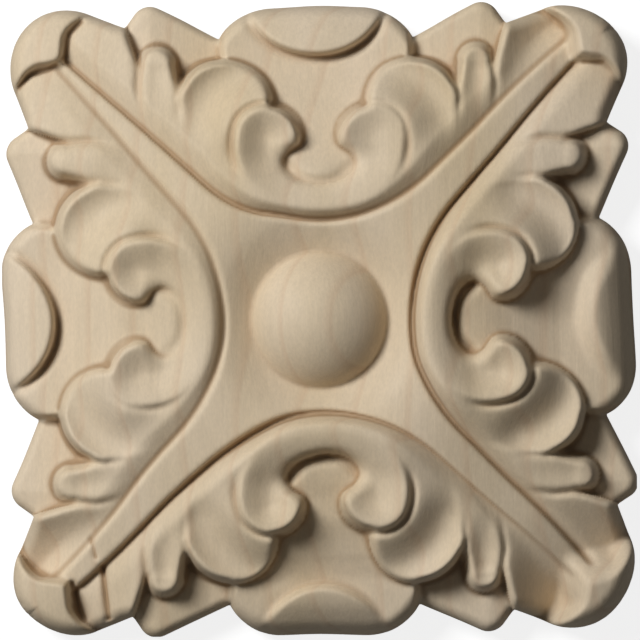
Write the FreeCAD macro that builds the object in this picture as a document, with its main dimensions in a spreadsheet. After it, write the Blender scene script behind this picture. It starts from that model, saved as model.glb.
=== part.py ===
import FreeCAD, Part
import Sketcher
import math
import os

# Corner rosette block: one square of pale hardwood, flat at the back and carved on the front.
# A round boss stands in a dished panel whose four arms run to the corners as ribs. Between the arms
# lie four equal bays of acanthus: a C-scroll with two volute heads, two cupped ears, fingers, corner
# leaves that fold over at the corners, and a side leaf whose tip rolls over at the block's edge.
# The block lies on its back: z is height off the back, and each bay's axis runs out from the centre.
# One eighth is modelled, from the axis of the +Y bay (x = 0) to the arm on the diagonal (x = y).

SIZES = [
    ("block_width", 90.0, "across the block, lip to opposite lip"),
    ("block_depth", 19.0, "flat back to the top of the boss"),
    ("lip_flat", 12.0, "straight part of a side lip's edge"),
    ("lip_notch_across", 14.0, "bay axis to the notch beside the lip"),
    ("lip_notch_depth", 4.6, "depth of that notch from the block's edge"),
    ("lobe_tip_side", 21.2, "block's side to the tip of the under leaf beside it"),
    ("lobe_tip_radius", 2.6, "round of that tip"),
    ("corner_notch_side", 17.4, "block's side to the notch beside the corner"),
    ("corner_notch_depth", 3.2, "depth of that notch from the block's edge"),
    ("corner_radius", 8.5, "round of the block's corners"),
    ("corner_setback", 0.4, "how far the corners stay inside the block's square"),
    ("under_leaf_height", 7.5, "top of the under leaves, at their root"),
    ("under_leaf_edge", 5.8, "top of the under leaves, at their points"),
    ("under_leaf_run", 9.0, "length of the under leaves' fall, in from the block's edge"),
    ("panel_reach", 13.8, "centre to the panel's edge on a bay axis"),
    ("bay_radius", 24.6, "round of the panel's edge"),
    ("bay_sweep", 42.0, "turn of that round, bay axis to arm, degrees"),
    ("arm_side", 7.5, "block's side to the end of an arm's edge"),
    ("panel_low", 13.9, "height of the dished panel round the boss"),
    ("panel_shoulder", 15.4, "height of the panel where the dish ends"),
    ("dish_reach", 20.0, "block centre to where the dish ends, along an arm"),
    ("arm_height", 8.0, "height of the arms at the corners"),
    ("boss_radius", 9.7, "round boss at the panel"),
    ("boss_ring", 0.6, "level ring of the panel round the boss"),
    ("leaf_crest", 17.9, "top of the scroll leaves near the panel"),
    ("leaf_crest_out", 19.5, "how far along the bay the ears and fingers keep that height"),
    ("scroll_crest_out", 22.0, "how far along the bay the C-scroll keeps it"),
    ("leaf_outer", 12.4, "top of the fingers, near the block's edge"),
    ("leaf_outer_inset", 7.0, "block's edge to where the fingers have that height"),
    ("scroll_band", 4.8, "width of the C-scroll on a bay axis"),
    ("eye_width", 11.6, "opening inside the C-scroll, across the bay"),
    ("eye_length", 6.8, "the same along the bay axis"),
    ("head_across", 7.5, "bay axis to a volute head's centre"),
    ("head_out", 25.6, "block centre to a volute head's centre, along the bay"),
    ("head_radius", 5.0, "round of a volute head"),
    ("head_gouge", 5.5, "round of the gouge that hollows a volute head"),
    ("head_hollow", 1.3, "depth of that hollow in the middle of the head"),
    ("head_fall", 22.0, "fall of that hollow from the head's rim to the eye, degrees"),
    ("head_hollow_reach", 3.4, "length of that hollow each way from the head's middle"),
    ("ear_across", 13.2, "bay axis to an ear's centre"),
    ("ear_out", 30.5, "block centre to an ear's centre, along the bay"),
    ("ear_radius", 6.9, "round of an ear"),
    ("ear_gouge", 9.0, "round of the gouge that hollows an ear, out of its volute head"),
    ("ear_hollow", 1.5, "depth of that hollow in the middle of the ear"),
    ("ear_fall", 0.5, "fall of that hollow from the ear's rim to the head, degrees"),
    ("finger_side", 22.3, "block's side to a finger leaf's centre line"),
    ("finger_tip_inset", 6.4, "block's edge to a finger leaf's tip"),
    ("finger_width", 5.0, "width of a finger leaf"),
    ("finger_length", 8.0, "length of a finger leaf"),
    ("finger_gouge", 3.4, "round of the gouge that hollows a finger leaf"),
    ("finger_hollow", 0.9, "depth of that hollow at the tip"),
    ("finger_fall", 22.5, "fall of that hollow towards the tip, degrees"),
    ("leaf_lift", 1.0, "corner leaves above the arm between them"),
    ("ear_lift", 1.8, "ears and fingers above the arm beside them"),
    ("web_inset", 10.1, "block's edge to the web between ear and finger"),
    ("waist_side", 19.2, "block's side to the corner leaf's waist"),
    ("waist_inset", 8.4, "block's edge to that waist"),
    ("leaf_gouge", 5.0, "round of the gouge that hollows a corner leaf"),
    ("leaf_hollow", 1.3, "depth of that hollow"),
    ("leaf_hollow_side", 14.7, "block's side to the middle of that hollow"),
    ("leaf_hollow_inset", 7.6, "block's edge to the middle of that hollow"),
    ("leaf_hollow_turn", 56.0, "direction of that hollow from across the bay, degrees"),
    ("leaf_hollow_fall", 16.0, "fall of that hollow towards the corner, degrees"),
    ("curl_fold_inset", 8.2, "block's edges to the fold of a corner curl, each way"),
    ("curl_end_side", 10.9, "block's side to the end of that fold"),
    ("curl_end_inset", 2.4, "block's edge to the end of that fold"),
    ("curl_height", 10.9, "top of a corner curl"),
    ("curl_round", 9.6, "round of a corner curl"),
    ("side_leaf_throat", 15.1, "height of a side leaf inside the C-scroll"),
    ("side_leaf_sag", 0.8, "hollow along a side leaf"),
    ("side_leaf_height", 8.9, "height of a side leaf under its lip"),
    ("side_leaf_edge", 5.6, "height of a side leaf at the block's edge"),
    ("lip_fold_inset", 7.4, "block's edge to the fold of a side lip"),
    ("lip_fold_radius", 10.6, "round of that fold"),
    ("lip_height", 11.4, "top of a side lip"),
    ("lip_roll", 8.4, "round of the lip as it turns down at the edge"),
    ("lip_crest_inset", 7.9, "block's edge to the top of that roll"),
    ("groove_low", 13.1, "bottom of the panel's edge cut on a bay axis"),
    ("groove_corner", 7.5, "bottom of that cut at the corner"),
    ("groove_bevel", 0.7, "width of that cut's bevel on the panel"),
    ("groove_bevel_rise", 1.4, "height of that bevel"),
    ("flank_width", 1.1, "width of the scroll's steep flank"),
    ("flank_rise", 3.9, "height of that flank"),
    ("shoulder_width", 2.2, "width of the scroll's shoulder over the flank"),
    ("shoulder_rise", 1.3, "height of that shoulder"),
]

doc = FreeCAD.newDocument("corner_rosette_block")
sheet = doc.addObject("Spreadsheet::Sheet", "Sizes")
for row, (alias, value, meaning) in enumerate(SIZES, start=1):
    sheet.set(f"A{row}", meaning)
    sheet.set(f"B{row}", str(value))
    sheet.setAlias(f"B{row}", alias)
doc.recompute()


class Size:
    """A length or angle: its value now, and the expression that ties it to the sheet."""

    def __init__(self, value, text):
        self.value = value
        self.text = text

    def join(self, other, sign, value):
        return Size(value, f"({self.text} {sign} {as_size(other).text})")

    def __add__(self, other):
        return self.join(other, "+", self.value + as_size(other).value)

    def __sub__(self, other):
        return self.join(other, "-", self.value - as_size(other).value)

    def __mul__(self, other):
        return self.join(other, "*", self.value * as_size(other).value)

    def __truediv__(self, other):
        return self.join(other, "/", self.value / as_size(other).value)

    def __neg__(self):
        return Size(-self.value, f"(0 - {self.text})")


def as_size(number):
    return number if isinstance(number, Size) else Size(float(number), repr(float(number)))


def size(alias):
    return Size(float(sheet.get(alias)), f"Sizes.{alias}")


def sine(angle):
    return Size(math.sin(math.radians(angle.value)), f"sin({angle.text} * 1deg)")


def cosine(angle):
    return Size(math.cos(math.radians(angle.value)), f"cos({angle.text} * 1deg)")


def slope(rise, run):
    """The angle, in degrees, of a rise over a run."""
    return Size(math.degrees(math.atan2(rise.value, run.value)), f"(atan({rise.text} / {run.text}) / 1deg)")


def bind(thing, **sizes):
    """Tie properties of an object to the sheet."""
    for name, given in sizes.items():
        thing.setExpression(name, as_size(given).text)
    return thing


def put(thing, across, out, height):
    """Tie the place of an object to the sheet."""
    thing.setExpression("Placement.Base.x", as_size(across).text)
    thing.setExpression("Placement.Base.y", as_size(out).text)
    thing.setExpression("Placement.Base.z", as_size(height).text)
    return thing


def turn(thing, axis, angle):
    """Turn an object about one axis through its own place, by an angle tied to the sheet."""
    thing.Placement = FreeCAD.Placement(FreeCAD.Vector(), FreeCAD.Rotation(axis, 1))
    thing.setExpression("Placement.Rotation.Angle", f"{as_size(angle).text} * 1deg")
    return thing


HALF_TURN = as_size(180)
QUARTER_TURN = as_size(90)
X_AXIS = FreeCAD.Vector(1, 0, 0)
Y_AXIS = FreeCAD.Vector(0, 1, 0)
Z_AXIS = FreeCAD.Vector(0, 0, 1)
PLAN = FreeCAD.Placement()
SIDE = FreeCAD.Placement(FreeCAD.Vector(), FreeCAD.Rotation(FreeCAD.Vector(1, 1, 1), 120))
ALONG_ARM = FreeCAD.Placement(FreeCAD.Vector(), FreeCAD.Rotation(Z_AXIS, -45)) * SIDE


class Profile:
    """A sketch drawn corner by corner, with every corner and round tied to the sheet."""

    def __init__(self, name, plane, start):
        self.sketch = doc.addObject("Sketcher::SketchObject", name)
        self.sketch.Placement = plane
        self.first = start
        self.here = start
        self.edges = []

    def tie(self, kind, *places, to):
        index = self.sketch.addConstraint(Sketcher.Constraint(kind, *places, to.value))
        self.sketch.setExpression(f"Constraints[{index}]", to.text)

    def pin(self, edge, end, corner):
        """Hold one end of an edge at its place from the origin."""
        across, out = (as_size(part) for part in corner)
        self.tie("DistanceX", -1, 1, edge, end, to=across)
        self.tie("DistanceY", -1, 1, edge, end, to=out)

    def flat(self, corner):
        return FreeCAD.Vector(as_size(corner[0]).value, as_size(corner[1]).value, 0)

    def add(self, edge, begin, finish, corner, pinned, smooth):
        """Join an edge to the last one, with or without a corner, and hold its far end if it is pinned."""
        if self.edges:
            last, last_end = self.edges[-1]
            joint = "Tangent" if smooth else "Coincident"
            self.sketch.addConstraint(Sketcher.Constraint(joint, last, last_end, edge, begin))
        else:
            self.pin(edge, begin, self.here)
            self.begin = (edge, begin)
        if pinned:
            self.pin(edge, finish, corner)
        self.edges.append((edge, finish))
        self.here = corner

    def line(self, corner, pinned=True, smooth=False):
        edge = self.sketch.addGeometry(Part.LineSegment(self.flat(self.here), self.flat(corner)), False)
        self.add(edge, 1, 2, corner, pinned, smooth)
        return self

    def arc(self, corner, radius, left, pinned=True, smooth=False):
        """A round of the given radius to the corner, turning left or right on its way."""
        start, end = self.flat(self.here), self.flat(corner)
        half = (end - start) * 0.5
        reach = math.sqrt(max(radius.value ** 2 - half.Length ** 2, 0.0))
        side = FreeCAD.Vector(-half.y, half.x, 0).normalize() * (reach if left else -reach)
        centre = start + half + side
        first, last = (start, end) if left else (end, start)
        angles = [math.atan2(spot.y - centre.y, spot.x - centre.x) for spot in (first, last)]
        ring = Part.Circle(centre, Z_AXIS, radius.value)
        edge = self.sketch.addGeometry(Part.ArcOfCircle(ring, *angles), False)
        self.add(edge, 1 if left else 2, 2 if left else 1, corner, pinned, smooth)
        self.tie("Radius", edge, to=radius)
        return self

    def close(self):
        (last, last_end), (edge, begin) = self.edges[-1], self.begin
        side = Part.LineSegment(self.flat(self.here), self.flat(self.first))
        closing = self.sketch.addGeometry(side, False)
        self.sketch.addConstraint(Sketcher.Constraint("Coincident", last, last_end, closing, 1))
        self.sketch.addConstraint(Sketcher.Constraint("Coincident", closing, 2, edge, begin))
        return self.sketch


def tangent_spot(spot, centre, radius, left):
    """Where a line from a spot touches a circle, on its left or right seen from the centre: a first guess."""
    dx, dy = spot[0].value - centre[0].value, spot[1].value - centre[1].value
    square = dx * dx + dy * dy
    along = radius.value ** 2 / square
    aside = radius.value * math.sqrt(square - radius.value ** 2) / square * (1 if left else -1)
    return centre[0].value + along * dx - aside * dy, centre[1].value + along * dy + aside * dx


def prism(sketch, height):
    """A plan drawing raised from the back to a height."""
    solid = doc.addObject("Part::Extrusion", sketch.Name + "_prism")
    solid.Base = sketch
    solid.DirMode = "Normal"
    solid.Solid = True
    return bind(solid, LengthFwd=height)


def post(name, centre, radius, height):
    """An upright round bar that stands on the back."""
    solid = doc.addObject("Part::Cylinder", name)
    bind(solid, Radius=radius, Height=height)
    return put(solid, *centre, 0)


def ball(name, centre, height, radius):
    """A ball, its poles laid level, with its centre at a height."""
    solid = doc.addObject("Part::Sphere", name)
    turn(solid, X_AXIS, QUARTER_TURN)
    bind(solid, Radius=radius)
    return put(solid, *centre, height)


def together(name, solids, kind):
    solid = doc.addObject(f"Part::{kind}", name)
    solid.Shapes = solids
    return solid


def carved(name, solid, tool):
    """A solid with a tool's shape taken out of it."""
    result = doc.addObject("Part::Cut", name)
    result.Base = solid
    result.Tool = tool
    return result


def with_mirror(name, solid, normal):
    """A solid joined to its mirror image in an upright plane through the centre."""
    image = doc.addObject("Part::Mirroring", name + "_image")
    image.Source = solid
    image.Normal = normal
    joined = together(name, [solid, image], "MultiFuse")
    joined.Refine = True
    return joined


half = size("block_width") / 2
depth = size("block_depth")
far = size("block_width")
corner_notch = (half - size("corner_notch_side"), half - size("corner_notch_depth"))
ROOT_HALF = math.sqrt(0.5)


def outline():
    """One eighth of the scalloped outline: side lip, notch, under leaf, notch and round corner."""
    notch = (size("lip_notch_across"), half - size("lip_notch_depth"))
    drop = size("lip_notch_depth")
    run = size("lip_notch_across") - size("lip_flat") / 2
    tip_radius = size("lobe_tip_radius")
    tip = (half - size("lobe_tip_side"), half - tip_radius)
    corner_radius = size("corner_radius")
    corner = half - size("corner_setback") - corner_radius
    corner_end = corner + corner_radius * ROOT_HALF
    leaf_start = tangent_spot(notch, tip, tip_radius, left=False)
    leaf_end = tangent_spot(corner_notch, tip, tip_radius, left=True)
    corner_start = tangent_spot(corner_notch, (corner, corner), corner_radius, left=False)

    shape = Profile("outline", PLAN, (0, 0))
    shape.line((0, half)).line((size("lip_flat") / 2, half))
    shape.arc(notch, (run * run + drop * drop) / (drop * 2), left=False)
    shape.line(leaf_start, pinned=False)
    shape.arc(leaf_end, tip_radius, left=False, pinned=False, smooth=True)
    shape.pin(shape.edges[-1][0], 3, tip)
    shape.line(corner_notch, smooth=True).line(corner_start, pinned=False)
    shape.arc((corner_end, corner_end), corner_radius, left=False, smooth=True)
    return shape.close()


# The stock: the scalloped outline, sawn upright through the block's whole depth.
stock = prism(outline(), depth)

# The ground: under leaves that fall towards their points.
shape = Profile("ground_section", SIDE, (0, 0))
shape.line((half, 0)).line((half, size("under_leaf_edge")))
shape.line((half - size("under_leaf_run"), size("under_leaf_height"))).line((0, size("under_leaf_height")))
ground = prism(shape.close(), half)

# The panel's edge: a round about each bay that runs straight on into the arms.
sweep = size("bay_sweep")
reach = size("panel_reach")
bay_radius = size("bay_radius")
arm_start = (bay_radius * sine(sweep), reach + bay_radius - bay_radius * cosine(sweep))
arm_across = half - size("arm_side")
arm_rise = (arm_across - arm_start[0]) * sine(sweep) / cosine(sweep)
arm_end = (arm_across, arm_start[1] + arm_rise)
arm_length = arm_end[1] / ROOT_HALF

# The panel: dished round the boss, highest at the shoulders, falling along the arms.
shape = Profile("panel_plan", PLAN, (0, 0))
shape.line((0, reach)).arc(arm_start, bay_radius, left=True)
shape.line(arm_end).line((arm_end[1], arm_end[1]))
panel_plan = prism(shape.close(), depth)

dish_start = size("boss_radius") + size("boss_ring")
dish_run = (size("dish_reach") - dish_start) / 2
dish_rise = (size("panel_shoulder") - size("panel_low")) / 2
dish_round = (dish_run * dish_run + dish_rise * dish_rise) / (dish_rise * 2)
arm_fall = (size("panel_shoulder") - size("arm_height")) / (arm_length - size("dish_reach"))
shape = Profile("panel_section", ALONG_ARM, (0, 0))
shape.line((far, 0)).line((far, size("arm_height"))).line((arm_length, size("arm_height")))
shape.line((size("dish_reach"), size("panel_shoulder")))
shape.arc((dish_start + dish_run, size("panel_low") + dish_rise), dish_round, left=True)
shape.arc((dish_start, size("panel_low")), dish_round, left=False)
shape.line((0, size("panel_low")))
panel_top = prism(shape.close(), far)
panel_top.Symmetric = True
panel = together("panel", [panel_plan, panel_top], "MultiCommon")

# The side leaf: high in the throat of the scroll, hollow along its length, falling at the block's edge.
throat = reach + size("scroll_band")
lip_fold = half - size("lip_fold_inset")
leaf_run = lip_fold - throat
leaf_fall = size("side_leaf_throat") - size("side_leaf_height")
sag = size("side_leaf_sag")
leaf_round = ((leaf_run * leaf_run + leaf_fall * leaf_fall) / 4 + sag * sag) / (sag * 2)
shape = Profile("side_leaf_section", SIDE, (throat, 0))
shape.line((far, 0)).line((far, size("side_leaf_edge"))).line((half, size("side_leaf_edge")))
shape.line((lip_fold, size("side_leaf_height")))
shape.arc((throat, size("side_leaf_throat")), leaf_round, left=False)
side_leaf = prism(shape.close(), size("lip_notch_across"))

# The side lip: the leaf's tip folded over, a roll that turns down to the block's edge.
lip_disc = post("lip_disc", (0, lip_fold + size("lip_fold_radius")), size("lip_fold_radius"), depth)
lip_roll = doc.addObject("Part::Cylinder", "lip_roll")
turn(lip_roll, Y_AXIS, QUARTER_TURN)
bind(lip_roll, Radius=size("lip_roll"), Height=half)
put(lip_roll, 0, half - size("lip_crest_inset"), size("lip_height") - size("lip_roll"))
lip = together("side_lip", [lip_disc, lip_roll], "MultiCommon")

# The corner curl: the corner leaf's tip folded over its own fold line, a round knob on a post.
curl_fold = half - size("curl_fold_inset")
curl_end = (half - size("curl_end_side"), half - size("curl_end_inset"))
shape = Profile("curl_plan", PLAN, (curl_fold, curl_fold))
shape.line(curl_end).line((curl_end[0], half)).line((half, half))
curl_plan = prism(shape.close(), depth)
curl_foot = size("curl_height") - size("curl_round")
curl_ball = ball("curl_ball", (curl_fold, curl_fold), curl_foot, size("curl_round"))
curl_post = post("curl_post", (curl_fold, curl_fold), size("curl_round"), curl_foot)
curl_round = together("curl_round", [curl_ball, curl_post], "MultiFuse")
curl = together("corner_curl", [curl_plan, curl_round], "MultiCommon")

# The bay's own bounds, from the panel's edge outwards.
shape = Profile("bay_plan", PLAN, (0, reach))
shape.arc(arm_start, bay_radius, left=True).line(arm_end)
shape.line((half, half)).line((0, half))
bay = prism(shape.close(), depth)

crest = size("leaf_crest")
outer_run = half - size("leaf_outer_inset") - size("leaf_crest_out")
roof_fall = (crest - size("leaf_outer")) / outer_run


def bay_roof(name, level_out):
    """Height of the leaves along a bay: level at the crest as far as given, then falling to the edge."""
    shape = Profile(name, SIDE, (0, 0))
    shape.line((half, 0)).line((half, crest - (half - level_out) * roof_fall))
    shape.line((level_out, crest)).line((0, crest))
    return prism(shape.close(), half)


def arm_roof(name, lift):
    """Height of the leaves along an arm: as far above the arm's fall as given."""
    start = size("panel_shoulder") + size("dish_reach") * arm_fall + lift
    shape = Profile(name, ALONG_ARM, (0, 0))
    shape.line((far, 0)).line((far, start - far * arm_fall)).line((0, start))
    solid = prism(shape.close(), far)
    solid.Symmetric = True
    return solid


def roof_at(spot, level_out):
    """Height of that roof along the bay, at a place beyond its level part."""
    return crest - (spot[1] - level_out) * roof_fall


def gouged(name, centre, height, radius, direction, fall, reach):
    """A straight gouge cut: a bar that passes a place, runs its reach each way and falls as it goes."""
    bar = doc.addObject("Part::Cylinder", name)
    bind(bar, Radius=radius, Height=reach * 2)
    bar.Placement = FreeCAD.Placement(FreeCAD.Vector(), FreeCAD.Rotation(-1, 89, 0))
    bar.setExpression("Placement.Rotation.Yaw", (direction - HALF_TURN).text)
    bar.setExpression("Placement.Rotation.Pitch", (QUARTER_TURN - fall).text)
    ahead = reach * cosine(fall)
    return put(bar, centre[0] + ahead * cosine(direction), centre[1] + ahead * sine(direction),
               height - reach * sine(fall))


# The eye of the C-scroll: a rounded slot across the bay.
eye_half = size("eye_length") / 2
eye_out = throat + eye_half
eye_end = size("eye_width") / 2 - eye_half
shape = Profile("eye_plan", PLAN, (-eye_end, throat))
shape.line((eye_end, throat)).arc((eye_end + eye_half, eye_out), eye_half, left=True)
shape.arc((eye_end, throat + size("eye_length")), eye_half, left=True)
shape.line((-eye_end, throat + size("eye_length")))
eye = prism(shape.close(), depth)

# The ear leaf: root along the panel's edge, ear and finger, with the corner leaf beside them.
head = (size("head_across"), size("head_out"))
ear = (size("ear_across"), size("ear_out"))
finger_across = half - size("finger_side")
finger_half = size("finger_width") / 2
finger_tip = half - size("finger_tip_inset")
finger_root = finger_tip - size("finger_length")
finger_end = finger_tip - finger_half
waist = (half - size("waist_side"), half - size("waist_inset"))
ear_round = post("ear_round", ear, size("ear_radius"), crest)

shape = Profile("root_plan", PLAN, (0, 0))
shape.line((0, eye_out)).line(head).line(ear).line((finger_across - finger_half, half - size("web_inset")))
shape.line(waist).line(arm_end)
root = prism(shape.close(), crest)

shape = Profile("finger_plan", PLAN, (finger_across - finger_half, finger_root))
shape.line((finger_across + finger_half, finger_root)).line((finger_across + finger_half, finger_end))
shape.arc((finger_across, finger_tip), finger_half, left=True)
shape.arc((finger_across - finger_half, finger_end), finger_half, left=True)
finger = prism(shape.close(), crest)

shape = Profile("corner_leaf_plan", PLAN, waist)
shape.line((finger_across + finger_half, finger_root)).line((arm_end[0], finger_root)).line(arm_end)
shape.line(curl_end).line((curl_end[0], half))
shape.line((corner_notch[0], half)).line(corner_notch)
corner_plan = prism(shape.close(), crest)
corner_roof = arm_roof("corner_roof", size("leaf_lift"))
corner_leaf = together("corner_leaf", [corner_plan, corner_roof], "MultiCommon")

ear_plan = together("ear_plan", [root, ear_round, finger], "MultiFuse")
leaf_roof = bay_roof("leaf_roof", size("leaf_crest_out"))
ear_under_roof = together("ear_under_roof", [ear_plan, leaf_roof], "MultiCommon")
ear_blank = together("ear_blank", [ear_under_roof, arm_roof("ear_roof", size("ear_lift"))], "MultiCommon")
leaf_blank = together("leaf_blank", [ear_blank, corner_leaf], "MultiFuse")
leaf_in_bay = together("leaf_in_bay", [leaf_blank, bay], "MultiCommon")

ear_run = (ear[0] - head[0], ear[1] - head[1])
ear_top = roof_at(ear, size("leaf_crest_out"))
ear_hollow = gouged("ear_hollow", ear, ear_top - size("ear_hollow") + size("ear_gouge"),
                    size("ear_gouge"), slope(ear_run[1], ear_run[0]) + HALF_TURN, size("ear_fall"),
                    size("ear_radius") + size("head_radius"))
finger_middle = (finger_across, finger_end)
finger_top = roof_at(finger_middle, size("leaf_crest_out"))
finger_hollow = gouged("finger_hollow", finger_middle,
                       finger_top - size("finger_hollow") + size("finger_gouge"),
                       size("finger_gouge"), QUARTER_TURN, size("finger_fall"), size("finger_length"))
leaf_middle = (half - size("leaf_hollow_side"), half - size("leaf_hollow_inset"))
leaf_along = (leaf_middle[0] + leaf_middle[1]) * ROOT_HALF
leaf_top = size("panel_shoulder") + size("leaf_lift") - (leaf_along - size("dish_reach")) * arm_fall
leaf_hollow = gouged("leaf_hollow", leaf_middle, leaf_top - size("leaf_hollow") + size("leaf_gouge"),
                     size("leaf_gouge"), size("leaf_hollow_turn"), size("leaf_hollow_fall"), half / 2)
hollow_ear = carved("hollow_ear", leaf_in_bay, ear_hollow)
hollow_finger = carved("hollow_finger", hollow_ear, finger_hollow)
ear_leaf = carved("ear_leaf", hollow_finger, leaf_hollow)

# The C-scroll: a band round its eye that swells into a hollow volute head, standing over the ear leaf.
scroll_radius = size("head_across") + size("head_radius")
shape = Profile("scroll_plan", PLAN, (0, eye_out))
shape.line(head).line((scroll_radius, size("head_out")))
shape.arc((0, size("head_out") - scroll_radius), scroll_radius, left=False)
scroll_band = prism(shape.close(), crest)
head_round = post("head_round", head, size("head_radius"), crest)
scroll_plan = together("scroll_plan_round", [scroll_band, head_round], "MultiFuse")
scroll_roof = bay_roof("scroll_roof", size("scroll_crest_out"))
scroll_blank = together("scroll_blank", [scroll_plan, scroll_roof], "MultiCommon")
scroll_in_bay = together("scroll_in_bay", [scroll_blank, bay], "MultiCommon")
leaf_round_scroll = carved("leaf_round_scroll", ear_leaf, scroll_in_bay)
eye_run = (head[0] - eye_end, head[1] - eye_out)
head_top = roof_at(head, size("scroll_crest_out"))
head_hollow = gouged("head_hollow", head, head_top - size("head_hollow") + size("head_gouge"),
                     size("head_gouge"), slope(eye_run[1], eye_run[0]) + HALF_TURN, size("head_fall"),
                     size("head_hollow_reach"))
scroll = carved("scroll", scroll_in_bay, head_hollow)
leaves = together("leaves", [leaf_round_scroll, scroll], "MultiFuse")
open_leaves = carved("open_leaves", leaves, eye)

# The cut along the panel's edge: a bevel on the panel, flank and shoulder on the leaves, falling outwards.
path = Profile("groove_path", PLAN, (0, 0))
path.arc((arm_start[0], arm_start[1] - reach), bay_radius, left=True)
path.line((arm_end[0], arm_end[1] - reach))
low = size("groove_low")
turn(path.sketch, X_AXIS, slope(size("groove_corner") - low, arm_end[1] - reach))
put(path.sketch, 0, reach, low)

flank = (reach + size("flank_width"), low + size("flank_rise"))
shoulder = (flank[0] + size("shoulder_width"), flank[1] + size("shoulder_rise"))
bevel = (reach - size("groove_bevel"), low + size("groove_bevel_rise"))
shape = Profile("groove_section", SIDE, (reach, low))
shape.line(flank).line(shoulder).line((shoulder[0], low + depth)).line((bevel[0], low + depth)).line(bevel)
groove = doc.addObject("Part::Sweep", "panel_groove")
groove.Sections = [shape.close()]
groove.Spine = (path.sketch, ["Edge1", "Edge2"])
groove.Solid = True
groove.Transition = "Right corner"

# One eighth of the block, then its mirror images round the centre, then the boss.
layers = together("layers", [ground, panel, side_leaf, lip, open_leaves], "MultiFuse")
grooved = carved("grooved", layers, groove)
with_curl = together("with_curl", [grooved, curl], "MultiFuse")
eighth = together("eighth", [stock, with_curl], "MultiCommon")
quarter = with_mirror("quarter", eighth, X_AXIS)
two_bays = with_mirror("two_bays", quarter, FreeCAD.Vector(1, -1, 0))
four_bays = with_mirror("four_bays", two_bays, FreeCAD.Vector(1, 1, 0))

boss_rise = depth - size("panel_low")
boss_ball = (size("boss_radius") * size("boss_radius") + boss_rise * boss_rise) / (boss_rise * 2)
boss_top = ball("boss_top", (0, 0), depth - boss_ball, boss_ball)
boss_stock = post("boss_stock", (0, 0), dish_start, depth)
put(boss_stock, 0, 0, depth - boss_ball)
boss = together("boss", [boss_top, boss_stock], "MultiCommon")

block = together("rosette_block", [four_bays, boss], "MultiFuse")
block.Label = "rosette_block"
doc.recompute()

for thing in doc.Objects:
    if "Invalid" in thing.State or "Error" in thing.State:
        raise RuntimeError(f"{thing.Name} did not build: {thing.State}")
if block.Shape.isNull() or not block.Shape.isValid() or len(block.Shape.Solids) != 1:
    raise RuntimeError("the block is not one valid solid")
os.makedirs("parts", exist_ok=True)
block.Shape.exportStep(f"parts/{block.Label}.step")
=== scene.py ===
import math

import bpy
import numpy as np
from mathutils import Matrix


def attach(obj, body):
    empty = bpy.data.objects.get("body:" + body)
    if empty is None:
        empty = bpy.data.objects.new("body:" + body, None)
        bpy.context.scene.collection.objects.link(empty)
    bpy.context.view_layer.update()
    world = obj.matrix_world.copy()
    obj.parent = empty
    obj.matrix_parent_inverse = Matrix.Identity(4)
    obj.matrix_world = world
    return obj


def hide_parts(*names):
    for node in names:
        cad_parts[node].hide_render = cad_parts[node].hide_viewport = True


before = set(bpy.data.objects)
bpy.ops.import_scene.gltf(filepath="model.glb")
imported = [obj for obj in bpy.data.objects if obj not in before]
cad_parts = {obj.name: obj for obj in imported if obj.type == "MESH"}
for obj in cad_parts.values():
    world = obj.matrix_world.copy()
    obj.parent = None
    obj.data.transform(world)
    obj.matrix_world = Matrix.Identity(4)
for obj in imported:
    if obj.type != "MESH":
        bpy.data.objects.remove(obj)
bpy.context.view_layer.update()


# The blank is one square of pale hardwood, sawn flat at the back, with its edge cut to the outline
# of the leaves. Its face is a square net of points, drawn in at the rim to that outline. Sizes are in
# millimetres: across is taken from a bay's middle line, and out from the centre of the block.
MM = 0.001
half = 45.0
cells = 304
far = 99.0
draw_from = 0.72
outline_spots = 420
lip_edge = (6.3, 44.55)
lip_shoulder = 8.55
lip_notch = (13.8, 40.1)
tip_centre, tip_radius = (23.7, 41.8), 2.6
corner_notch = (27.2, 41.3)
corner_centre, corner_radius = (35.35, 35.35), 8.6


def touch(point, centre, radius, turn):
    """Bearing, from a circle's centre, of where a line from the point touches the circle:
    the bearing of the point itself, turned by the arc cosine of radius over distance."""
    across, out = point[0] - centre[0], point[1] - centre[1]
    return math.atan2(out, across) + turn * math.acos(radius / math.hypot(across, out))


def arc(centre, radius, start, end, count):
    """Points across and out along a circle, evenly turned from one bearing to another."""
    turn = np.linspace(start, end, count)
    return np.stack([centre[0] + radius * np.cos(turn), centre[1] + radius * np.sin(turn)], axis=1)


def smooth(value, low, high):
    """Zero below low, one above high, and a smooth S between them."""
    step = np.clip((value - low) / (high - low), 0.0, 1.0)
    return step * step * (3.0 - 2.0 * step)


shoulder_centre = (lip_edge[0], lip_edge[1] - lip_shoulder)
shoulder_end = math.atan2(lip_notch[1] - shoulder_centre[1], lip_notch[0] - shoulder_centre[0])
tip_start = touch(lip_notch, tip_centre, tip_radius, -1) + 2.0 * math.pi
tip_end = touch(corner_notch, tip_centre, tip_radius, 1)
corner_start = touch(corner_notch, corner_centre, corner_radius, -1)
outline = np.concatenate([
    np.array([(0.0, lip_edge[1])]),
    arc(shoulder_centre, lip_shoulder, math.pi / 2, shoulder_end, 40),
    arc(tip_centre, tip_radius, tip_start, tip_end, 20),
    np.array([corner_notch]),
    arc(corner_centre, corner_radius, corner_start, math.pi / 4, 50)])
walk = np.concatenate([[0.0], np.cumsum(np.hypot(*np.diff(outline, axis=0).T))])
even = np.linspace(0.0, walk[-1], outline_spots)
outline = np.stack([np.interp(even, walk, outline[:, 0]), np.interp(even, walk, outline[:, 1])], axis=1)

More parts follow.
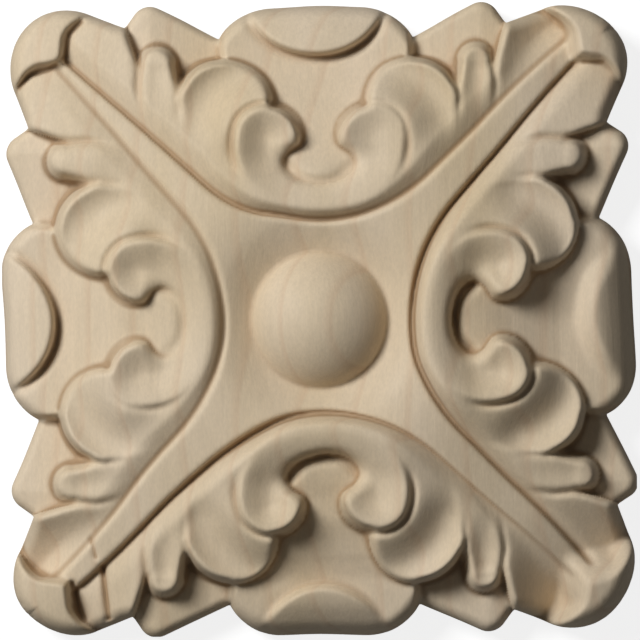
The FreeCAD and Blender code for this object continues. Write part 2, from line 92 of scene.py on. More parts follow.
net = np.linspace(-1.0, 1.0, cells + 1)
net_x, net_y = np.meshgrid(net, net, indexing="ij")
ring = np.maximum(np.abs(net_x), np.abs(net_y))
turn = np.arctan2(np.minimum(np.abs(net_x), np.abs(net_y)), ring + 1e-9)
reach = np.interp(turn, np.arctan2(outline[:, 0], outline[:, 1]), np.hypot(outline[:, 0], outline[:, 1]))
drawn = half * (1.0 + (reach * np.cos(turn) / half - 1.0) * smooth(ring, draw_from, 1.0))
right, up = net_x * drawn, net_y * drawn
across = np.minimum(np.abs(right), np.abs(up))
out = np.maximum(np.abs(right), np.abs(up))
from_middle = np.hypot(right, up)
from_edge = np.full(right.shape, far)
for spot in outline:
    from_edge = np.minimum(from_edge, np.hypot(across - spot[0], out - spot[1]))


# The eight half bays are cut by hand and differ a little: each has its own share of groove and hollow.
# They are counted from the top bay's right half, clockwise, and blend across the middle of a bay.
top_right, right_top, right_low, low_right, low_left, left_low, left_top, top_left = range(8)
bay_blend = 9.0
upright = np.abs(up) >= np.abs(right)
octant = np.where(upright, np.where(up >= 0, np.where(right >= 0, top_right, top_left),
                                    np.where(right >= 0, low_right, low_left)),
                  np.where(right >= 0, np.where(up >= 0, right_top, right_low),
                           np.where(up >= 0, left_top, left_low)))
mate = np.array([top_left, right_low, right_top, low_left, low_right, left_top, left_low, top_right])


def laid_over(lower, upper, share):
    """The lower value where the share is nought, the upper where it is one, and a mix between."""
    return lower * (1.0 - share) + upper * share


def by_hand(shares):
    """Share of a cut at each point: its own half bay's, meeting the other half's at the bay's middle."""
    own, other = np.array(shares)[octant], np.array(shares)[mate[octant]]
    return laid_over(other, own, 0.5 + 0.5 * smooth(across, 0.0, bay_blend))


# The panel is a four-pointed field, dished towards a turned boss that stands at its middle. Each arm runs
# up to a corner, and a parting cut follows its edge: an arc round the bay, then straight to the corner,
# where the arm ends at the fold of the corner curl.
bay_middle, bay_radius, bay_sweep = 37.75, 24.2, math.radians(42)
boss_radius, boss_rise = 9.6, 6.2
dish_low, dish_rise, dish_slope, dish_bend = 12.7, 2.8, 0.56, 0.9
dome_from, dome_bend, dome_slope = 22.0, 4.0, 0.25
fold_across, fold_out, fold_lean, fold_slant = 36.0, 36.5, 0.13, 0.92
fold_bend, fold_bend_from = 0.2, 39.5
groove_share, groove_thinning = 1.05, 0.2
arm_drift = by_hand([1.3, -0.7, 0.4, -0.3, 0.6, 0.3, -0.2, -0.7])
axis_drift = by_hand([0.4, -0.3, -0.3, -0.3, -0.3, -0.1, -0.1, 0.4])
drift_end = by_hand([32.0, 32.0, 14.0, 14.0, 14.0, 14.0, 14.0, 14.0])
groove_cut = by_hand([0.9, 1.7, 1.7, 1.0, 2.0, 0.8, 0.7, 1.7])

bay_turn = np.arctan2(across, bay_middle - out)
join = (bay_radius * math.sin(bay_sweep), bay_middle - bay_radius * math.cos(bay_sweep))
in_bay = np.where(bay_turn < bay_sweep, bay_radius - np.hypot(across, out - bay_middle),
                  (out - join[1]) * math.cos(bay_sweep) - (across - join[0]) * math.sin(bay_sweep))
drift = smooth(across, 2.0, drift_end)
in_bay = in_bay - arm_drift * drift - axis_drift * (1.0 - drift)
climb = dish_slope * np.maximum(from_middle - boss_radius, 0.0)
panel = dish_low + 0.5 * (climb + dish_rise - np.sqrt((climb - dish_rise) ** 2 + dish_bend ** 2))
beyond = from_middle - dome_from
dome = dome_slope * 0.5 * (beyond + np.sqrt(beyond ** 2 + dome_bend ** 2))
ball = (boss_radius ** 2 + boss_rise ** 2) / (2.0 * boss_rise)
boss = dish_low + boss_rise - ball + np.sqrt(np.maximum(ball ** 2 - from_middle ** 2, 0.0))
panel = np.where(from_middle < boss_radius, boss, panel)
curl_fold = fold_across - fold_lean * (out - fold_out) - fold_bend * np.maximum(out - fold_bend_from, 0.0) ** 2
curl_in = fold_slant * (across - curl_fold)
groove_depth = groove_cut * (groove_share - groove_thinning * smooth(from_middle, 16.0, 48.0))


# Leaves and scrolls of each bay stand above the parting cut: a rounded flank rises from it to a crest that
# runs round the bay as the back of the C-scroll, and the leaves fall away from there.
head, head_radius = (7.24, 25.1), 4.8
ear, ear_radius = (13.2, 30.1), 6.5
ear_tail, ear_tail_radius = (14.2, 21.6), 3.6
finger_root, finger_tip, finger_radius = (22.0, 25.0), (22.65, 36.0), 2.7
eye_out, eye_wide, eye_long = 21.8, 6.0, 3.5
crest_rise, arm_flank, bevel_thinning, groove_stop = 0.9, 3.2, 0.45, 0.8
crest_top = by_hand([16.4, 18.2, 18.2, 18.0, 18.0, 16.0, 16.0, 16.4])
bay_flank = by_hand([1.4, 1.6, 1.6, 1.6, 1.6, 1.5, 1.5, 1.4])
flank_bulge = by_hand([0.3, 1.0, 1.0, 1.0, 1.0, 0.3, 0.3, 0.3])
bay_bevel = by_hand([0.7, 0.9, 0.8, 0.6, 1.0, 0.7, 0.7, 0.5])

bold = 1.0 - smooth(across, 9.0, 19.0)
crest = panel + crest_rise + (crest_top - panel - crest_rise) * bold
flank_run = bay_flank + (arm_flank - bay_flank) * smooth(across, 5.0, 18.0)
bevel = bay_bevel * (1.0 - bevel_thinning * smooth(across, 8.0, 22.0))
foot = panel - groove_depth * smooth(in_bay, -bevel, 0.0) * (1.0 - smooth(curl_in, -groove_stop, groove_stop))
rise = np.clip(in_bay / flank_run, 0.0, 1.0)
flank = rise * (1.0 + flank_bulge * (1.0 - rise))


def along(start, end, first, second):
    """Distance of places from a straight line between two points, and how far along it, nought to one."""
    run, fall = end[0] - start[0], end[1] - start[1]
    share = ((first - start[0]) * run + (second - start[1]) * fall) / (run * run + fall * fall)
    share = np.clip(share, 0.0, 1.0)
    return np.hypot(first - start[0] - share * run, second - start[1] - share * fall), share


def bell(value, width):
    """One at nought, falling away on both sides: e to the minus square of value over width."""
    return np.exp(-(value / width) ** 2)


def soften_up(first, second, blend):
    """The greater of two values, rounded where they meet within the blend."""
    gap = np.maximum(blend - np.abs(first - second), 0.0) / blend
    return np.maximum(first, second) + 0.25 * blend * gap * gap


from_head = np.hypot(across - head[0], out - head[1])
from_ear, ear_share = along(ear, ear_tail, across, out)
ear_width = ear_radius + (ear_tail_radius - ear_radius) * ear_share
from_finger, finger_share = along(finger_tip, finger_root, across, out)
finger_width = finger_radius * (0.84 + 0.24 * smooth(finger_share, 0.0, 0.35)) * (1.0 - 0.3 * finger_share)
from_eye = (np.hypot(across / eye_wide, (out - eye_out) / eye_long) - 1.0) * eye_long

# Plain backs of the leaves: they fall gently from the crest towards the outer edge.
back_fall, back_from = 0.10, 2.4
roof = crest - back_fall * np.maximum(in_bay - back_from, 0.0) * (1.0 - smooth(across, 20.0, 30.0))

# Corner leaf: it falls towards the fold of the corner curl, with a spoon-shaped flute gouged along it.
curl_reach, curl_power = 8.5, 1.6
spoon_tip, spoon_root = (34.8, 39.9), (28.0, 28.9)
spoon_outer, spoon_taper, spoon_inner, spoon_power, spoon_fade = 7.3, 3.4, 3.0, 2.2, 0.75
corner_fall = by_hand([2.0, 0.6, 2.0, 2.8, 0.8, 2.2, 0.4, 0.1])
corner_hollow = by_hand([3.4, 0.7, 3.0, 4.6, 1.8, 3.6, 0.7, 0.3])
near_curl = np.clip(1.0 + np.minimum(curl_in, 0.0) / curl_reach, 0.0, 1.0) ** curl_power
roof = roof - corner_fall * near_curl
_, flute_share = along(spoon_tip, spoon_root, across, out)
spoon_run = math.hypot(spoon_root[0] - spoon_tip[0], spoon_root[1] - spoon_tip[1])
beside = ((across - spoon_tip[0]) * (spoon_root[1] - spoon_tip[1])
          - (out - spoon_tip[1]) * (spoon_root[0] - spoon_tip[0])) / spoon_run
spoon_wide = np.where(beside > 0.0, spoon_outer - spoon_taper * flute_share, spoon_inner)
flute = np.clip(1.0 - np.abs(beside / spoon_wide) ** spoon_power, 0.0, 1.0)
roof = roof - corner_hollow * (1.0 - spoon_fade * flute_share) * flute

# Finger leaf: plump, with a shallow flute that fades towards the panel, and a crease round it.
leaf_top, finger_fall, finger_crease = 17.8, 1.5, 0.9
finger_hollow = by_hand([2.2, 1.0, 1.6, 2.6, 2.2, 1.8, 0.7, 1.6])
finger_side = np.minimum((from_finger / finger_width) ** 2, 1.0)
finger_fade = 1.0 - smooth(finger_share, 0.25, 0.85)
finger_roof = (leaf_top - finger_fall * finger_side
               - finger_hollow * (1.0 - finger_side) ** 1.5 * smooth(finger_share, -0.35, 0.15))
finger_in = smooth(finger_width - from_finger, -0.7, 0.5) * finger_fade
roof = laid_over(roof, finger_roof, finger_in)
roof = roof - finger_crease * bell(from_finger - finger_width - 0.3, 0.5) * finger_fade

# Ear: a wide flute swept round the head. It starts high beside the head, falls to a bottom nearer its outer
# side and turns up again to a rolled rim.
flute_radius, flute_inner, flute_outer, ear_low = 10.3, 5.4, 3.5, 0.2
ear_hollow = by_hand([2.0, 2.4, 2.7, 2.6, 2.4, 2.2, 1.9, 2.0])
flute_side = from_head - flute_radius
ear_bowl = np.where(flute_side < 0.0, 1.0 - smooth(-flute_side, 0.0, flute_inner),
                    np.clip(1.0 - (flute_side / flute_outer) ** 2, 0.0, 1.0))
ear_bearing = np.arctan2(out - head[1], across - head[0])
ear_fade = ear_low + 0.8 * smooth(ear_bearing, math.radians(-45), math.radians(20))
ear_roof = leaf_top - ear_hollow * ear_bowl * ear_fade
ear_in = smooth(ear_width - from_ear, -0.6, 0.7) * (1.0 - smooth(ear_share, 0.25, 1.0))
roof = laid_over(roof, ear_roof, ear_in)

# C-scroll: one ridge runs from the crest round the outer side of the head and curls in to its nose; within it
# the wood is scooped towards the eye. A crease parts the head from the ear.
ridge = np.array([(0.0, 15.9), (4.0, 16.25), (7.6, 17.5), (10.2, 19.6), (11.5, 22.3), (11.7, 25.2),
                  (10.8, 27.9), (8.7, 29.4), (6.2, 29.3), (4.2, 28.0), (3.1, 26.0), (3.0, 24.6)])
before_ridge, scroll_mouth, ridge_spots = (-4.0, 16.25), (0.0, 24.0), 90
crease_cut = by_hand([0.6, 0.9, 0.9, 0.9, 0.7, 0.3, 0.8, 0.9])
scroll_dip = by_hand([0.9, 2.0, 2.0, 1.8, 2.0, 1.6, 2.0, 2.2])
head_top = by_hand([16.9, 18.4, 18.4, 18.4, 18.4, 17.0, 17.6, 18.0])
finer = np.linspace(0.0, len(ridge) - 1, ridge_spots)
after = np.vstack([ridge[1:], ridge[-1:]])
lead = 0.5 * (after - np.vstack([before_ridge, ridge[:-1]]))
cell = np.minimum(finer.astype(int), len(ridge) - 2)
t = (finer - cell)[:, None]
ridge = ((2 * t ** 3 - 3 * t ** 2 + 1) * ridge[cell] + (t ** 3 - 2 * t ** 2 + t) * lead[cell]
         + (3 * t ** 2 - 2 * t ** 3) * ridge[cell + 1] + (t ** 3 - t ** 2) * lead[cell + 1])
within = np.zeros(right.shape, dtype=bool)
from_ridge = np.full(right.shape, far)
ends = np.vstack([ridge, scroll_mouth])
for start, end in zip(ends, np.roll(ends, -1, axis=0)):
    crosses = (start[1] > out) != (end[1] > out)
    level = start[0] + (out - start[1]) * (end[0] - start[0]) / (end[1] - start[1] + 1e-9)
    within ^= crosses & (across < level)
for start, end in zip(ridge[:-1], ridge[1:]):
    from_ridge = np.minimum(from_ridge, along(start, end, across, out)[0])
scroll_in = np.where(within, from_ridge, -from_ridge)
crease = bell(scroll_in + 0.75, 0.4) * smooth(out, 20.0, 24.5)
roof = roof - crease_cut * crease
scroll_top = crest_top + (head_top - crest_top) * smooth(out, 17.0, 25.0)
scroll = scroll_top - scroll_dip * smooth(scroll_in, -0.6, 4.6)
scroll = scroll + 0.8 * (dome - 1.2) * smooth(out, 20.0, 24.0)
roof = laid_over(roof, scroll, smooth(scroll_in, -0.45, 0.25))

# The leaves' edge: the scalloped crown of head, ear, finger and corner leaf, and the eye cut through the scroll.
crown_across = [0.0, 7.24, 13.2, 20.2, 25.4, 27.0, 28.4, 45.0]
crown_out = [21.7, 25.1, 30.1, 33.6, 36.0, 40.8, 48.0, 60.0]
crown_slant, lobe_blend, mouth_wide = 0.78, 0.4, 2.3
leaf_in = crown_slant * (np.interp(across, crown_across, crown_out) - out)
leaf_in = soften_up(leaf_in, head_radius - from_head, lobe_blend)
leaf_in = soften_up(leaf_in, ear_radius - np.hypot(across - ear[0], out - ear[1]), lobe_blend)
leaf_in = soften_up(leaf_in, finger_width - from_finger, lobe_blend)
leaf_in = -soften_up(-leaf_in, -from_eye, 1.8)
leaf_in = -soften_up(-leaf_in, -np.where(out > eye_out, across - mouth_wide, far), 1.2)


# Side leaf, the low tongue that runs out through the eye to the edge of the block, where its end folds
# back as a lip; lower still, under leaves point out between it and the corners.
tongue_out = [17.0, 20.0, 23.0, 27.0, 31.0, 34.0, 38.0, 46.0]
tongue_top = [14.6, 14.5, 14.0, 13.2, 12.6, 12.3, 12.7, 13.3]
tongue_cup, tongue_wide = 0.006, 14.0
lip_centre, lip_radius, lip_top, lip_crest, lip_bend, lip_start = 47.4, 10.1, 15.6, 40.2, 1.6, 0.15
under_top, under_ridge = 7.2, 0.12
tongue_lift = by_hand([0.5, 0.0, 0.0, 0.8, 0.8, 1.2, 1.2, 0.5])
throat_lift = by_hand([0.5, -0.4, -0.4, -0.4, -0.4, 0.0, 0.0, 0.5])
eye_depth = by_hand([0.1, 1.5, 1.5, 1.2, 1.2, 0.1, 0.9, 1.5])
lip_slope = by_hand([0.5, 1.0, 1.0, 0.85, 0.85, 0.5, 0.5, 0.5])
lip_soft = by_hand([0.3, 1.7, 1.7, 0.6, 0.6, 0.3, 0.3, 0.3])
lip_depth = by_hand([1.0, 0.0, 0.0, 0.1, 0.1, 0.9, 0.7, 0.6])
under_tilt = by_hand([-0.4, 0.9, -0.3, -0.9, -0.9, -0.9, -0.9, -0.9])

tongue = np.interp(out, tongue_out, tongue_top) + tongue_cup * across ** 2
tongue = tongue + tongue_lift * smooth(out, 24.0, 29.0) * (1.0 - smooth(out, 33.0, 37.0))
eye_cut = eye_depth * bell(from_eye + 0.9, 0.8)
tongue = tongue - eye_cut * (1.0 - smooth(out - 0.6 * np.maximum(across - 2.0, 0.0), 19.8, 21.8))
tongue = tongue + throat_lift * bell(across, 2.8) * (1.0 - smooth(out, 18.5, 25.0))
lip_in = lip_radius - np.hypot(across, out - lip_centre)
past_crest = out - lip_crest
lip = lip_top - 0.5 * lip_slope * (past_crest + np.sqrt(past_crest ** 2 + lip_bend ** 2))
lip_step = smooth(lip_in, lip_start - lip_soft, lip_start + lip_soft)
lip_cut = lip_depth * bell(lip_in + 0.5, 0.55)
tongue = laid_over(tongue - lip_cut, lip, lip_step)
under = (under_top + under_tilt * smooth(out, 36.0, 45.0)
         - under_ridge * np.abs(across - tip_centre[0]) + dome)
tongue_in = smooth(tongue_wide - across, -0.3, 1.2)
ground = laid_over(under, tongue, tongue_in)

# The leaves' walls stand round-shouldered on that ground, and the bay joins the panel along its flank. Both
# right arms fall towards their corners, the lower one more.
wall_out, wall_run = 0.6, 1.5
arm_fall = np.where(right > 0.0, np.where(up > 0.0, 0.9, 2.0), 0.15) * near_curl
wall = np.clip((leaf_in + wall_out) / wall_run, 0.0, 1.0)
wall = np.sqrt(1.0 - (1.0 - wall) ** 2)
leaves = ground + (roof - ground) * wall
bay = foot - arm_fall * (1.0 - smooth(in_bay, 0.0, 1.5)) + (leaves - foot) * flank
height = np.where(in_bay > 0.0, bay, foot - arm_fall)


# Corner curl: the end of each arm, and the two leaves beside it, roll over into one round knob. Its fold is
# sharp at the left and soft at the right.
knob_middle, knob_round, knob_dome, knob_level = 38.3, 50.0, 0.45, 6.4
curl_soft = np.where(right > 0.0, np.where(up > 0.0, 1.6, 2.2), 0.8)
curl_top = np.where((right < 0.0) & (up > 0.0), 17.3, 18.2)
curl_start = np.where((right > 0.0) & (up < 0.0), -2.6, -0.25)
curl = (curl_top - np.hypot(across - knob_middle, out - knob_middle) ** 2 / knob_round
        + knob_dome * (dome - knob_level))
curl_step = smooth(curl_in, curl_start, curl_soft)
height = laid_over(height, np.maximum(curl, height), curl_step)

# The whole face is domed: it falls away from the panel's shoulder to the edges. The bays sit a little higher
# on that dome than the panel, and the rim is rounded over, most at the right and below.
bay_seat, rim_seat = 0.5, 0.4
shaded = by_hand([0.0, 1.0, 1.0, 0.8, 0.8, 0.0, 0.0, 0.0])
seat = (bay_seat * smooth(from_middle, 13.0, 20.0)
        + rim_seat * smooth(from_middle, 32.0, 48.0) * (1.0 - smooth(from_middle, 52.0, 57.0)))
height = height - dome + seat
bold_rim = (tongue_in + smooth(across, 26.5, 28.5)
            + 0.7 * smooth(across, 29.0, 34.0) * (right > 0.0) * (up < 0.0))
round_run = 1.1 + 0.7 * bold_rim + 0.5 * shaded
round_drop = 1.8 + 1.6 * bold_rim + 1.0 * shaded
over = np.clip(1.0 - from_edge / round_run, 0.0, 1.0)
height = height - round_drop * (1.0 - np.sqrt(1.0 - over ** 2))


# The carver's hand: lobes, tips and notches of the eight half bays each sit a little off the pattern.
# Every row is one half bay, and gives across and out, in millimetres, for head, ear, finger tip, under
# leaf tip, lip notch and corner notch.
pattern = np.array([(7.2, 25.1), (13.2, 30.1), (22.7, 38.0), (23.7, 44.4), (13.8, 40.1), (27.2, 41.3)])
carved = np.array([
    [(7.1, 25.3), (13.4, 30.9), (22.3, 38.9), (22.5, 44.9), (13.1, 39.6), (26.3, 42.0)],
    [(7.7, 25.0), (14.0, 29.6), (22.8, 36.7), (25.1, 43.7), (14.5, 39.7), (28.0, 40.9)],
    [(7.1, 24.7), (12.3, 30.1), (21.8, 39.1), (23.4, 44.9), (13.6, 40.7), (25.6, 42.4)],
    [(7.8, 24.7), (14.2, 29.9), (23.9, 37.8), (23.5, 44.3), (14.1, 40.5), (27.6, 40.8)],
    [(6.7, 25.9), (12.6, 29.9), (21.8, 38.4), (23.2, 44.9), (12.4, 40.5), (26.3, 42.5)],
    [(7.5, 24.9), (13.4, 29.9), (23.3, 36.5), (23.9, 43.9), (14.3, 39.9), (28.4, 40.3)],
    [(6.7, 25.3), (12.3, 29.9), (22.5, 38.0), (23.3, 44.5), (13.6, 40.9), (27.2, 40.9)],
    [(7.2, 25.3), (13.3, 30.5), (22.8, 38.4), (23.9, 44.3), (14.5, 39.3), (27.9, 40.9)]])
# Right and up, as seen from the front, of each half bay's across and out.
across_way = np.array([(1, 0), (0, 1), (0, -1), (1, 0), (-1, 0), (0, -1), (0, 1), (-1, 0)])
out_way = np.array([(0, 1), (1, 0), (1, 0), (0, -1), (0, -1), (-1, 0), (-1, 0), (0, 1)])
sway, hold, box_gap = 5.0, 0.12, 0.02
shift_right, shift_up, weight = np.zeros(right.shape), np.zeros(right.shape), np.full(right.shape, hold)
for half_bay, row in enumerate(carved):
    for place, spot in zip(pattern, row):
        home = across_way[half_bay] * place[0] + out_way[half_bay] * place[1]
        move = across_way[half_bay] * (spot - place)[0] + out_way[half_bay] * (spot - place)[1]
        pull = np.exp(-((right - home[0]) ** 2 + (up - home[1]) ** 2) / (2.0 * sway ** 2))
        shift_right += pull * move[0]
        shift_up += pull * move[1]
        weight += pull
right = np.clip(right + shift_right / weight, -half + box_gap, half - box_gap)
up = np.clip(up + shift_up / weight, -half + box_gap, half - box_gap)


# Knife cuts, folds and nicks that only one corner or bay has, as lines on the face, each with its width and
# depth. They are coloured brown, partly as burnishing and partly as painted shadow in the cut, as are the
# parting cut and the foot of the leaves' walls; then the face is sanded, which takes the sharpest edges off.
knife_cuts = [
    ([(-33.7, 42.0), (-35.3, 40.4), (-35.9, 37.2), (-38.4, 35.2), (-41.2, 34.5), (-42.5, 32.8)], 0.4, 0.6),
    ([(-27.7, 41.2), (-25.7, 37.0)], 0.3, 0.3),
    ([(37.4, 36.4), (39.9, 36.4)], 0.3, 0.5),
    ([(-30.6, -35.0), (-29.8, -42.3)], 0.32, 1.5),
    ([(-34.9, -37.4), (-33.5, -42.3)], 0.45, 1.2),
    ([(-32.3, -31.1), (-31.6, -33.6)], 0.3, 0.5)]
lowest, highest, sanded = 2.5, 18.98, 0.6
burnish_and_shade_at = by_hand([0.3, -0.2, -0.2, -0.2, -0.2, 0.4, 0.4, 0.1])
groove_burnish_and_shade = by_hand([1.0, 1.1, 1.1, 0.7, 1.2, 1.0, 0.9, 1.3])
wall_burnish_and_shade = by_hand([0.5, 0.4, 0.4, 0.5, 0.5, 0.7, 0.8, 0.9])


def blurred(field, reach):
    """The field averaged over its neighbours with a bell of that reach in cells, along and across."""
    spread = np.arange(-3 * reach, 3 * reach + 1)
    shares = np.exp(-0.5 * (spread / reach) ** 2)
    shares /= shares.sum()
    for axis in (0, 1):
        margins = [(3 * reach, 3 * reach) if axis == k else (0, 0) for k in (0, 1)]
        wide = np.pad(field, margins, mode="edge")
        own = np.arange(field.shape[axis])
        field = sum(share * np.take(wide, own + k, axis=axis) for k, share in enumerate(shares))
    return field


# Brown lines along the parting cut, the wall feet and the knife cuts: partly burnishing, partly painted shadow
# in the cuts.
burnish_and_cut_shade = groove_burnish_and_shade * bell(in_bay - burnish_and_shade_at, 0.45)
wall_foot = bell(leaf_in + 0.55, 0.4) * smooth(out, 20.5, 23.0) * smooth(in_bay, 2.0, 4.0)
burnish_and_cut_shade = np.maximum(burnish_and_cut_shade, wall_burnish_and_shade * wall_foot)
burnish_and_cut_shade = burnish_and_cut_shade * (1.0 - smooth(curl_in, -0.8, 0.4))
for line, width, depth in knife_cuts:
    nearest = np.full(right.shape, far)
    for start, end in zip(line[:-1], line[1:]):
        nearest = np.minimum(nearest, along(start, end, right, up)[0])
    height = height - depth * bell(nearest, width)
    burnish_and_cut_shade = np.maximum(burnish_and_cut_shade, bell(nearest, width))
height = np.clip(height, lowest, highest)
height = (1.0 - sanded) * height + sanded * blurred(height, 1)


# The finished block: the carved face, upright sawn edges and the flat back are one closed skin. Each point of
# the face also keeps how deep it lies below its neighbours, with the burnished lines added, which the wood's
# colour shows as painted shade in creases and cuts and as burnishing; the sawn edges have none.
burnish_and_shade_share = 0.5
wall_rows = 3
# Painted shade: the deeper a point lies below the blurred face, the browner it is painted, with the cut lines'
# burnishing and painted shadow added.
hollow_shade_and_burnish = blurred(height, 2) - height + burnish_and_shade_share * burnish_and_cut_shade
side = cells + 1
number = np.arange(side * side).reshape(side, side)
rim = np.concatenate([number[:-1, 0], number[-1, :-1], number[:0:-1, -1], number[0, :0:-1]])
face_points = np.stack([right.ravel(), up.ravel(), height.ravel()], axis=1)
rows = []
for row in range(1, wall_rows + 1):
    lower = face_points[rim]
    lower[:, 2] *= 1.0 - row / wall_rows
    rows.append(lower)
points = np.concatenate([face_points] + rows + [np.zeros((1, 3))])
face_quads = np.stack([number[:-1, :-1], number[1:, :-1], number[1:, 1:], number[:-1, 1:]], axis=-1)
face_quads = face_quads.reshape(-1, 4)
loops = [rim] + [side * side + row * len(rim) + np.arange(len(rim)) for row in range(wall_rows)]
wall_quads = np.concatenate([np.stack([low, np.roll(low, -1), np.roll(high, -1), high], axis=1)
                             for high, low in zip(loops[:-1], loops[1:])])
middle = np.full(len(rim), len(points) - 1)
back = np.stack([middle, np.roll(loops[-1], -1), loops[-1]], axis=1)
mesh = bpy.data.meshes.new("rosette")
mesh.from_pydata((points * MM).tolist(), [], face_quads.tolist() + wall_quads.tolist() + back.tolist())
smooth_faces = np.ones(len(mesh.polygons), dtype=bool)
smooth_faces[-len(back):] = False
mesh.polygons.foreach_set("use_smooth", smooth_faces)
shade = np.zeros(len(points))
shade[:side * side] = hollow_shade_and_burnish.ravel()
shade[rim] = 0.0
mesh.attributes.new("hollow_shade_and_burnish", "FLOAT", "POINT").data.foreach_set("value", shade.astype(np.float32))
mesh.update()
rosette = bpy.data.objects.new("carved_rosette", mesh)
bpy.context.scene.collection.objects.link(rosette)
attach(rosette, "root")
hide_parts("rosette_block")


# Bare maple-like wood, sanded and unfinished: grain runs up the block, growth layers show as faint pinkish
# lines where the carving cuts them, and burnishing and painted shade darken the cuts and creases to brown.
def linear(red, green, blue):
    """Scene colour of an 8-bit display colour: the usual display curve taken off each part."""
    parts = [v / 255.0 for v in (red, green, blue)]
    return tuple(p / 12.92 if p <= 0.04045 else ((p + 0.055) / 1.055) ** 2.4 for p in parts) + (1.0,)


warm_wood, pale_wood = linear(217, 197, 164), linear(228, 210, 184)
# Brown of the burnishing and painted shade in creases and cuts, and how strongly it is laid on.
growth_pink, shade_and_burnish_brown = linear(194, 152, 116), linear(144, 108, 68)
fibre_share, pore_share, growth_strength, shade_and_burnish_strength = 0.5, 0.6, 0.2, 0.65
wood = bpy.data.materials.new("bare_maple")
wood.use_nodes = True
nodes, links = wood.node_tree.nodes, wood.node_tree.links
shader = nodes["Principled BSDF"]
shader.inputs["Specular IOR Level"].default_value = 0.25
coordinates = nodes.new("ShaderNodeTexCoord")


def mapped(scale, turned=(0, 0, 0)):
    """Object coordinates stretched by the scale, in metres, after a turn."""
    node = nodes.new("ShaderNodeMapping")
    node.inputs["Scale"].default_value = scale
    node.inputs["Rotation"].default_value = turned
    links.new(coordinates.outputs["Object"], node.inputs["Vector"])
    return node.outputs["Vector"]


def noise(scale, detail=3.0, rough=0.5):
    """Cloudy noise over stretched object coordinates."""
    node = nodes.new("ShaderNodeTexNoise")
    node.inputs["Scale"].default_value = 1.0
    node.inputs["Detail"].default_value = detail
    node.inputs["Roughness"].default_value = rough
    links.new(mapped(scale), node.inputs["Vector"])
    return node.outputs["Fac"]


def ramp(value, stops):
    """Colour or share read off a value between stops."""
    node = nodes.new("ShaderNodeValToRGB")
    while len(node.color_ramp.elements) < len(stops):
        node.color_ramp.elements.new(0.5)
    for element, (spot, colour) in zip(node.color_ramp.elements, stops):
        element.position = spot
        element.color = colour if isinstance(colour, tuple) else (colour, colour, colour, 1.0)
    links.new(value, node.inputs["Fac"])
    return node.outputs["Color"]


def mixed(kind, share, first, second):
    """Two colours mixed in the given way by a share."""
    node = nodes.new("ShaderNodeMix")
    node.data_type = "RGBA"
    node.blend_type = kind
    for name, value in (("Factor", share), ("A", first), ("B", second)):
        socket = [s for s in node.inputs if s.name == name and s.enabled][0]
        if isinstance(value, (tuple, float)):
            socket.default_value = value
        else:
            links.new(value, socket)
    return [s for s in node.outputs if s.enabled][0]


figure = ramp(noise((60, 18, 60)), [(0.3, warm_wood), (0.7, pale_wood)])
fibre = ramp(noise((1200, 120, 1200), 5.0, 0.65), [(0.35, 0.88), (0.65, 1.0)])
colour = mixed("MULTIPLY", fibre_share, figure, fibre)
pores = ramp(noise((3200, 1300, 3200), 2.0, 0.5), [(0.35, 0.9), (0.65, 1.0)])
colour = mixed("MULTIPLY", pore_share, colour, pores)
layers = nodes.new("ShaderNodeTexWave")
layers.wave_type, layers.bands_direction, layers.wave_profile = "BANDS", "X", "SAW"
layers.inputs["Scale"].default_value = 1.0
layers.inputs["Distortion"].default_value = 2.2
layers.inputs["Detail"].default_value = 2.0
layers.inputs["Detail Scale"].default_value = 0.6
links.new(mapped((45, 4, 60), (0, 0.5, 0)), layers.inputs["Vector"])
growth = ramp(layers.outputs["Fac"], [(0.0, 0.0), (0.8, 0.05), (0.95, 1.0), (1.0, 0.2)])
growth_share = nodes.new("ShaderNodeMath")
growth_share.operation = "MULTIPLY"
growth_share.inputs[1].default_value = growth_strength
links.new(growth, growth_share.inputs[0])
colour = mixed("MIX", growth_share.outputs[0], colour, growth_pink)
shade_and_burnish_attribute = nodes.new("ShaderNodeAttribute")
shade_and_burnish_attribute.attribute_name = "hollow_shade_and_burnish"
# Painted shade and burnishing: the wood is mixed towards brown where the attribute is high, in creases and cuts.
shade_and_burnish_mix = ramp(shade_and_burnish_attribute.outputs["Fac"], [(0.0, 0.0), (0.1, 0.0), (0.7, shade_and_burnish_strength)])
colour = mixed("MIX", shade_and_burnish_mix, colour, shade_and_burnish_brown)
links.new(colour, shader.inputs["Base Color"])
links.new(ramp(noise((300, 40, 300)), [(0.3, 0.56), (0.7, 0.72)]), shader.inputs["Roughness"])
bump = nodes.new("ShaderNodeBump")
bump.inputs["Strength"].default_value = 0.25
bump.inputs["Distance"].default_value = 0.0002
links.new(noise((1500, 70, 1500), 4.0, 0.6), bump.inputs["Height"])
links.new(bump.outputs["Normal"], shader.inputs["Normal"])
mesh.materials.append(wood)


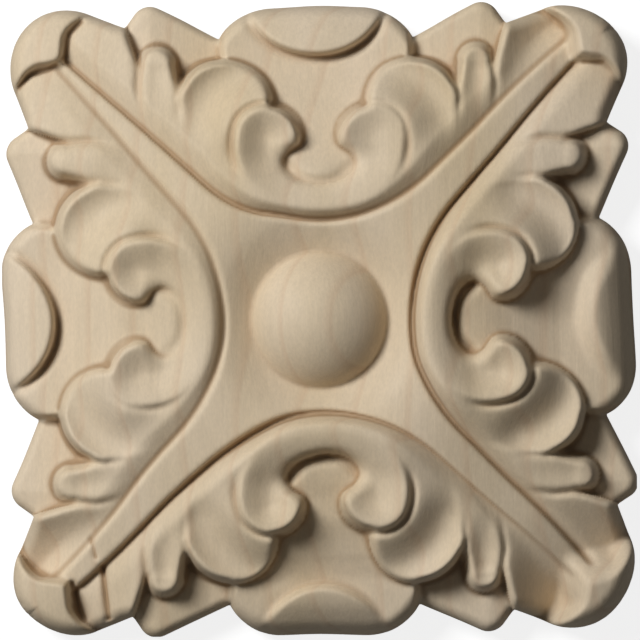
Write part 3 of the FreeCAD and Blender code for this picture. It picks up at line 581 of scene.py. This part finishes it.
# A pale floor under the block, lit by one soft lamp from the upper left and a plain room. The floor glows a
# little to the camera alone, so that it looks like white paper and throws little light up on the wood.
floor_half, floor_grey, floor_glow = 2, 0.32, 0.84
floor_mesh = bpy.data.meshes.new("floor")
floor_mesh.from_pydata([(-floor_half, -floor_half, 0), (floor_half, -floor_half, 0),
                        (floor_half, floor_half, 0), (-floor_half, floor_half, 0)], [], [(0, 1, 2, 3)])
floor = bpy.data.objects.new("floor", floor_mesh)
bpy.context.scene.collection.objects.link(floor)
paper = bpy.data.materials.new("pale_floor")
paper.use_nodes = True
floor_nodes, floor_links = paper.node_tree.nodes, paper.node_tree.links
matt = floor_nodes["Principled BSDF"]
matt.inputs["Base Color"].default_value = (floor_grey, floor_grey, floor_grey, 1.0)
matt.inputs["Roughness"].default_value = 0.9
glow = floor_nodes.new("ShaderNodeEmission")
glow.inputs["Color"].default_value = (1.0, 1.0, 1.0, 1.0)
seen = floor_nodes.new("ShaderNodeLightPath")
glow_share = floor_nodes.new("ShaderNodeMath")
glow_share.operation = "MULTIPLY"
glow_share.inputs[1].default_value = floor_glow
floor_links.new(seen.outputs["Is Camera Ray"], glow_share.inputs[0])
floor_links.new(glow_share.outputs[0], glow.inputs["Strength"])
both = floor_nodes.new("ShaderNodeAddShader")
floor_links.new(matt.outputs["BSDF"], both.inputs[0])
floor_links.new(glow.outputs["Emission"], both.inputs[1])
floor_links.new(both.outputs["Shader"], floor_nodes["Material Output"].inputs["Surface"])
floor_mesh.materials.append(paper)

lamp_way, lamp_distance = np.array([-0.5265, 0.369, 0.766]), 0.6
lamp_data = bpy.data.lights.new("key", "AREA")
lamp_data.energy = 3.1
lamp_data.size = 0.2
lamp = bpy.data.objects.new("key", lamp_data)
bpy.context.scene.collection.objects.link(lamp)
lamp.location = lamp_way * lamp_distance
lamp.rotation_euler = (math.acos(lamp_way[2]), 0.0, math.atan2(lamp_way[0], -lamp_way[1]))

room = bpy.data.worlds.new("room")
room.use_nodes = True
room.node_tree.nodes["Background"].inputs["Color"].default_value = (1.0, 0.98, 0.95, 1.0)
room.node_tree.nodes["Background"].inputs["Strength"].default_value = 0.07
bpy.context.scene.world = room

# The lens is long and looks straight down on the carved face, half a pixel off the block's centre.
picture_width, pixels_per_mm, face_level = 640.0, 7.1, 13.0
lens = bpy.data.cameras.new("lens")
lens.lens, lens.sensor_width = 500.0, 36.0
lens.clip_end = 10.0
frame_width = picture_width / pixels_per_mm
half_pixel = 0.5 / pixels_per_mm
lens_height = frame_width * lens.lens / lens.sensor_width + face_level
camera = bpy.data.objects.new("camera", lens)
bpy.context.scene.collection.objects.link(camera)
camera.location = (half_pixel * MM, -half_pixel * MM, lens_height * MM)
bpy.context.scene.camera = camera
bpy.context.scene.view_settings.view_transform = "Standard"
